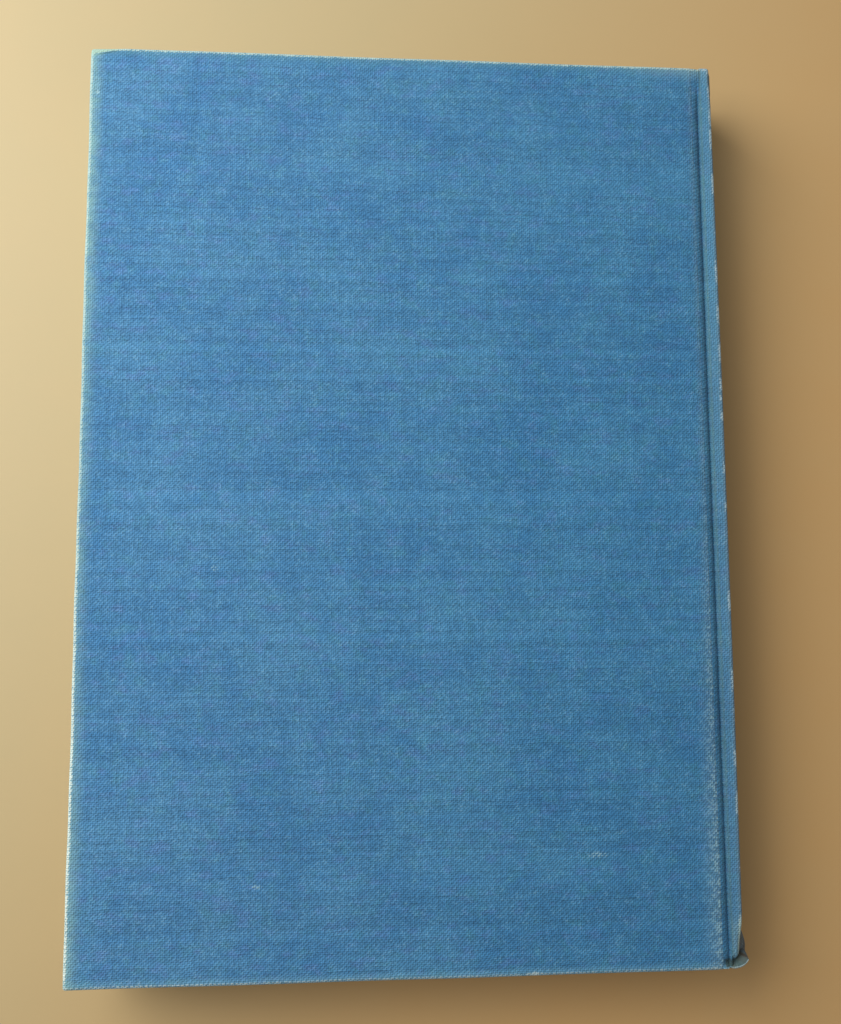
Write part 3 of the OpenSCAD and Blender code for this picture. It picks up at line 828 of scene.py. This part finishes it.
# Soiling and painted light: the groove is lightened and greyed to set how dark its shade shows, the spine's
# sides near their ends are darkened by soiling and painted shade, and the recess at the tail and the foot of
# the spine's wall get painted shadow.
across_groove = fade(tree, x, GROOVE_BOARD_X - 0.6, SPINE_LOW[0] - 0.1)
in_groove = times(across_groove, fade(tree, x, SPINE_LOW[0] + 0.9, SPINE_LOW[0] + 0.2))
groove_ends = times(fade(tree, y, 108.5, 102.0, 0.4, 1.0), fade(tree, y, -107.0, -98.0, 0.45, 1.0))
spine_side = times(fade(tree, x, SPINE_HIGH[0] - 0.5, SPINE_HIGH[0] - 0.1),
                   fade(tree, z, BOOK_TOP - 0.9, BOOK_TOP - 1.6))
spine_ends = add(fade(tree, y, -92.0, -104.0), fade(tree, y, 94.0, 104.0))
soil_and_shade_patches = times(fade(tree, z, 10.0, 17.0), fade(tree, patchy, 0.2, 0.6, 0.5, 1.0))
spine_side_soil_and_shade = times(times(times(spine_side, spine_ends), soil_and_shade_patches), fade(tree, y, -110.3, -109.8))
soil_and_painted_light = calc(tree, "MAXIMUM", times(in_groove, groove_ends), spine_side_soil_and_shade)
# Painted light in the groove, lightened and greyed; on the spine's sides, darkening that is partly soiling
# and partly painted shade.
soil_and_shade_tint = tint(tree, spine_side, (1.16, 1.08, 0.96), (0.90, 0.52, 0.40))
cloth_tone = tint(tree, soil_and_painted_light, cloth_tone, darkened(cloth_tone, soil_and_shade_tint))
# Painted shade at the foot of the spine's wall, in the bottom of the groove.
spine_foot_shade = times(on_spine, fade(tree, x, SPINE_LOW[0] + 0.9, SPINE_LOW[0] + 0.1))
cloth_tone = tint(tree, spine_foot_shade, cloth_tone, darkened(cloth_tone, (0.76, 0.67, 0.59)))
# Painted shadow in the recess behind the lip at the tail of the spine.
recess_shade = times(tail_recess, fade(tree, z, 17.0, 19.0))
cloth_tone = tint(tree, recess_shade, cloth_tone, darkened(cloth_tone, (0.55, 0.42, 0.30)))
feed(tree, shader.inputs["Base Color"], cloth_tone)
fuzz = grain(tree, woven, 6.0, 2)
relief(tree, shader, add(add(weave_height, times(weft_slub, 0.5)), times(fuzz, 0.35)), 0.00015)


def inner_window(axis, end, middle):
    """The bare board inside the turned-in cloth."""
    return axis == 2 and not end and middle[0] > CASE_LOW[0] + TURN_IN and abs(middle[1]) < TURN_HALF


def strip_window(axis, end, middle):
    """The bare inner face of the spine strip, between its turned-in ends."""
    inner_face = axis == 0 and not end and BOOK_TOP - GROOVE_Z < middle[2] < GROOVE_Z
    return inner_face and abs(middle[1]) < TURN_HALF


TURN_HALF = CASE_HALF - TURN_IN
GROOVE_RADIUS = (SPINE_LOW[0] - GROOVE_BOARD_X) / 2
GROOVE_Z = float(CASE_LOW[2]) + 2 * CLOTH + GROOVE_RADIUS
groove_angles = np.radians(np.linspace(0, 180, 25))


def groove_lining(worn):
    """The cloth in the groove, from the board's wall round the bottom to the spine's wall."""
    ys = cover_axes[1]
    angle, y = [a.ravel() for a in np.meshgrid(groove_angles, ys, indexing="ij")]
    normals = np.stack([np.cos(angle), 0 * angle, np.sin(angle)], 1)
    bottom = np.sin(angle)
    doubled = ramp(np.abs(y), TURN_HALF - 0.5, TURN_HALF + 0.5)
    thickness = CLOTH + CLOTH * bottom * doubled
    centre = np.stack([HINGE_X + 0 * angle, y, GROOVE_Z + 0 * angle], 1)
    outer = centre - GROOVE_RADIUS * normals
    inner = outer - thickness[:, None] * normals
    # The outer side slopes down from the cover and stands steep against the spine.
    share = (1 - np.cos(angle)) / 2
    down = np.clip(share / 0.9, 0, 1)
    beside = np.stack([0 * y + GROOVE_BOARD_X - 0.35, y, 0 * y + BOOK_TOP], 1)
    edge = worn(beside)[:, 2] - 0.07
    level = edge - (edge - GROOVE_Z + 0.50) * (0.3 * down + 0.7 * down ** 2)
    level += 0.9 * np.clip(share / 0.1 - 9, 0, 1) ** 2
    # The groove runs out at the head, and a little at the tail, where its end is pinched.
    from_tail = y + CASE_HALF
    shallow = 0.88 * ramp(y, 97.0, 109.5) + 0.2 * ramp(from_tail, 12.0, 4.0)
    level += shallow * (edge - level)
    level += bottom * (0.75 * ramp(from_tail, 0.9, 0.3) - 0.5 * bell(from_tail, 1.7, 1.2))
    outer[:, 0] -= 0.35 * (1 - share) ** 3
    outer[:, 2] = np.minimum(level, BOOK_TOP)
    # Head and tail end in a rounded fold, where both sides come together.
    half = (outer - inner) / 2
    tuck = np.clip((np.abs(y) - (CASE_HALF - 0.35)) / 0.35, 0, 1)
    pull = (1 - np.sqrt(np.clip(1 - tuck ** 2, 0, 1)))[:, None] * 0.96
    outer, inner = outer - half * pull, inner + half * pull
    faces = grid_faces(len(groove_angles), len(ys))
    unrolled = GROOVE_BOARD_X + (BOOK_TOP - GROOVE_Z) + GROOVE_RADIUS * angle
    uvs = [[(unrolled[i], y[i]) for i in face] for face in faces]
    rest = np.stack([HINGE_X - GROOVE_RADIUS * np.cos(angle), y, outer[:, 2]], 1)
    gaps = np.minimum(CASE_HALF - np.abs(y), 9)
    return outer, inner, faces, uvs, rest, gaps


def cloth_case(worn):
    """The cloth round one board, with its turned-in edges."""
    flat, rounded, normals, faces, uvs, gaps = wrapped_box(
        CASE_LOW, CASE_HIGH, ROUND, cover_axes, inner_window)
    change = worn(flat) - flat
    return rounded + change, rounded - CLOTH * normals + change, faces, uvs, flat, gaps


def joined_sheets(*sheets):
    """Several sheets as one: outer, inner, faces, unrolled places, rest places, edge gaps."""
    shift, outer, inner, faces, uvs, rest, gaps = 0, [], [], [], [], [], []
    for sheet in sheets:
        outer.append(sheet[0])
        inner.append(sheet[1])
        faces += [tuple(i + shift for i in face) for face in sheet[2]]
        uvs += sheet[3]
        rest.append(sheet[4])
        gaps.append(sheet[5])
        shift += len(sheet[0])
    outer, inner, rest, gaps = [np.concatenate(parts) for parts in (outer, inner, rest, gaps)]
    return outer, inner, faces, uvs, rest, gaps


for side, worn in (("back", worn_back), ("front", worn_front)):
    cloth = closed_sheet(side + "_case_cloth", *joined_sheets(cloth_case(worn), groove_lining(worn)),
                         cloth_material, side == "front")
    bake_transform(cloth)
    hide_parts(side + "_cloth")

flat, rounded, normals, faces, uvs, gaps = wrapped_box(
    SPINE_LOW, SPINE_HIGH, ROUND, spine_axes, strip_window, "spine")
change = worn_spine(flat) - flat
cloth = closed_sheet("spine_case_cloth", rounded + change, rounded - CLOTH * normals + change, faces, uvs,
                     flat, gaps, cloth_material)
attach(cloth, "text_block")
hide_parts("spine_cloth")


# Pastedowns. The glued-down halves of the endpapers cover the boards' inner sides: they lie on the
# turned-in cloth, step down onto the board inside it, and run over the groove to the flyleaves.
PASTE_LOW, PASTE_HIGH = box_mm("back_pastedown")
GAUZE_THICKNESS, GAUZE_WIDTH, GAUZE_MARGIN = 0.2, 20, 2
pastedown_xs = np.concatenate([
    graded(PASTE_LOW[0], CASE_LOW[0] + 18, [0, 0.5], [0, 0.5, 1.0, 1.5, 2.0, 2.5, 3.0, 3.5, 4.0], 3.0),
    graded(CASE_LOW[0] + 22, GROOVE_BOARD_X - 0.3, [0, 1], [0, 0.4, 0.8, 1.2, 1.6], 3.0),
    np.linspace(GROOVE_BOARD_X - 0.25, HINGE_X, 17)])
step_stops = [0, 0.5, 3.0, *np.arange(11.0, 14.1, 0.4), 15.0]
pastedown_ys = graded(PASTE_LOW[1], PASTE_HIGH[1], step_stops, step_stops, 3.0)


def paste_level(x, y):
    """Height of the paper's glued side: higher over the turned-in cloth, the gauze and the groove."""
    from_turn_in = x - CASE_LOW[0] - TURN_IN
    window = ramp(from_turn_in, -0.2, 0.7) * ramp(TURN_HALF - np.abs(y), -0.1, 0.8)
    window = window * ramp(GROOVE_BOARD_X - CLOTH - x, 0.0, 0.8)
    from_gauze = x - GROOVE_BOARD_X + GAUZE_WIDTH
    gauze = ramp(from_gauze, -0.9, -0.2) * ramp(TURN_HALF - GAUZE_MARGIN - np.abs(y), -0.6, 0.1)
    return PASTE_LOW[2] + PAPER + window * (CLOTH - GAUZE_THICKNESS * gauze)


def paste_face(x, y):
    """Height of the paper's free side."""
    return paste_level(x, y) - PAPER


for side in ("back", "front"):
    pastedown = paper_sheet(side + "_endpaper_pastedown", pastedown_xs, pastedown_ys, paste_level, paste_face,
                            endpaper_material, side == "front")
    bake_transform(pastedown)
    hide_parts(side + "_pastedown")
